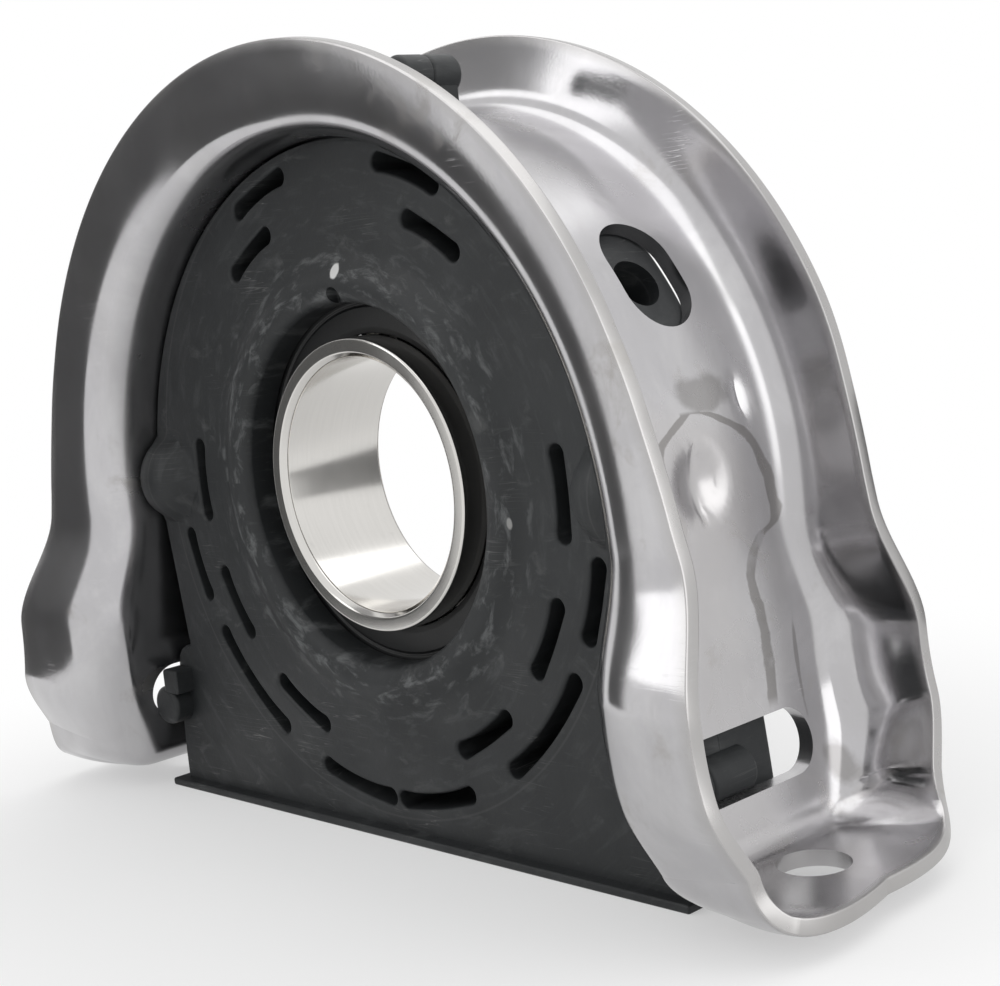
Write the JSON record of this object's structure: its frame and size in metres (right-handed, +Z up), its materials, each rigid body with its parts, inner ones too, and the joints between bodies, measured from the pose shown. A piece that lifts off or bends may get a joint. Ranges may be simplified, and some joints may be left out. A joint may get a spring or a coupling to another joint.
{
  "type": "driveshaft centre bearing",
  "caption": "Driveshaft centre support: a wide sealed ball bearing in a slotted rubber cushion, held by a drawn, flanged steel arch bracket with two bolt-down feet.",
  "frame": {"origin": "middle of the shaft bore, half way along it", "axes": "+Y along the shaft from the front to the rear, +Z up, away from the feet, +X to the right seen from the front"},
  "size_m": [0.2604, 0.087, 0.1856],
  "materials": {
    "drawn_steel": "bare drawn steel, satin, with soft stains and rubbed edges",
    "rubber": "matt black moulded rubber, lightly dusty",
    "ring_steel": "ground and polished bearing steel",
    "ball_steel": "polished bearing balls",
    "cage_steel": "pressed steel ribbon",
    "seal_rubber": "smooth black seal rubber, slightly glossy"
  },
  "bodies": {
    "housing": {"bracket": "drawn_steel", "rubber_cushion": "rubber", "outer_ring": "ring_steel", "front_seal": "seal_rubber", "rear_seal": "seal_rubber"},
    "inner_ring": {"inner_ring": "ring_steel"},
    "ball_cage": {"ball_01": "ball_steel", "ball_02": "ball_steel", "ball_03": "ball_steel", "ball_04": "ball_steel", "ball_05": "ball_steel", "ball_06": "ball_steel", "ball_07": "ball_steel", "ball_08": "ball_steel", "ball_09": "ball_steel", "ball_10": "ball_steel", "ball_11": "ball_steel", "ball_12": "ball_steel", "cage_front_half": "cage_steel", "cage_rear_half": "cage_steel", "cage_rivets": "cage_steel"}
  },
  "joints": [
    {"name": "ring_spin", "type": "hinge", "parent": "housing", "child": "inner_ring", "pos_m": [0, 0, 0], "axis": [0, 1, 0], "continuous": true},
    {"name": "cage_spin", "type": "hinge", "parent": "housing", "child": "ball_cage", "pos_m": [0, 0, 0], "axis": [0, 1, 0], "continuous": true}
  ],
  "couplings": [
    {"joint": "cage_spin", "follows": "ring_spin", "ratio": 0.42842}
  ]
}
